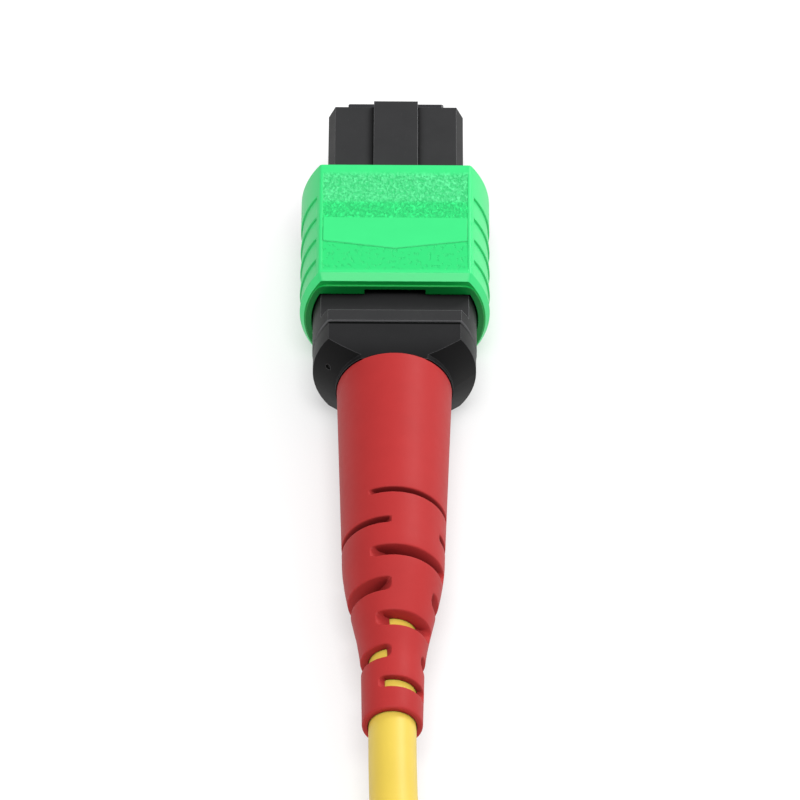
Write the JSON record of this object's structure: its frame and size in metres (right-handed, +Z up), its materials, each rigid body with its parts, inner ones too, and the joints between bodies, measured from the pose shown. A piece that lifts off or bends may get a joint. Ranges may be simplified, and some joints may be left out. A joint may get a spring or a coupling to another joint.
{
  "type": "mpo fibre connector",
  "caption": "Female multi-fibre push-pull connector with angled ferrule, sprung coupling sleeve, bend-relief boot and a round-cable pigtail folded into a hank.",
  "frame": {"origin": "under the middle of the connector without its free cable, on the surface that it rests on", "axes": "+Y towards the mating face along the connector's axis, +Z up on the key's side, +X to the side"},
  "size_m": [0.0278, 0.1376, 0.0098],
  "materials": {
    "sleeve_green": "moulded polyester, fine satin with a lightly textured panel",
    "housing_black": "glass-filled black resin, satin",
    "ferrule_resin": "polished filled resin",
    "soft_rubber": "soft black rubber",
    "spacer_resin": "satin resin",
    "fibre_coating": "clear coated glass fibres in a ribbon",
    "spring_steel": "drawn stainless spring wire",
    "crimp_metal": "nickel-plated brass, crimped",
    "aramid": "straw-coloured aramid yarn",
    "boot_red": "moulded elastomer, satin",
    "jacket_yellow": "extruded cable jacket, satin",
    "tie_black": "woven hook-and-loop tape"
  },
  "bodies": {
    "housing": {"inner_housing": "housing_black", "spring_push": "housing_black", "aramid_yarn": "aramid", "crimp_sleeve": "crimp_metal", "strain_boot": "boot_red", "cable_jacket": "jacket_yellow", "main_spring": "spring_steel", "sleeve_spring_left": "spring_steel", "sleeve_spring_right": "spring_steel", "cable_lead": "jacket_yellow", "cable_hank": "jacket_yellow", "hank_tie_right": "tie_black", "hank_tie_left": "tie_black"},
    "sleeve": {"outer_sleeve": "sleeve_green"},
    "ferrule_group": {"ferrule": "ferrule_resin", "ferrule_boot": "soft_rubber", "ferrule_spacer": "spacer_resin", "fibre_ribbon": "fibre_coating"}
  },
  "joints": [
    {"name": "sleeve_slide", "type": "slide", "parent": "housing", "child": "sleeve", "axis": [0, -1, 0], "range_m": [0, 0.0021], "stiffness_N_per_m": 1500, "springref_m": -0.002, "deforming": ["sleeve_spring_left", "sleeve_spring_right"]},
    {"name": "ferrule_slide", "type": "slide", "parent": "housing", "child": "ferrule_group", "axis": [0, -1, 0], "range_m": [0, 0.0008], "stiffness_N_per_m": 3000, "springref_m": -0.003, "deforming": ["main_spring"]}
  ]
}
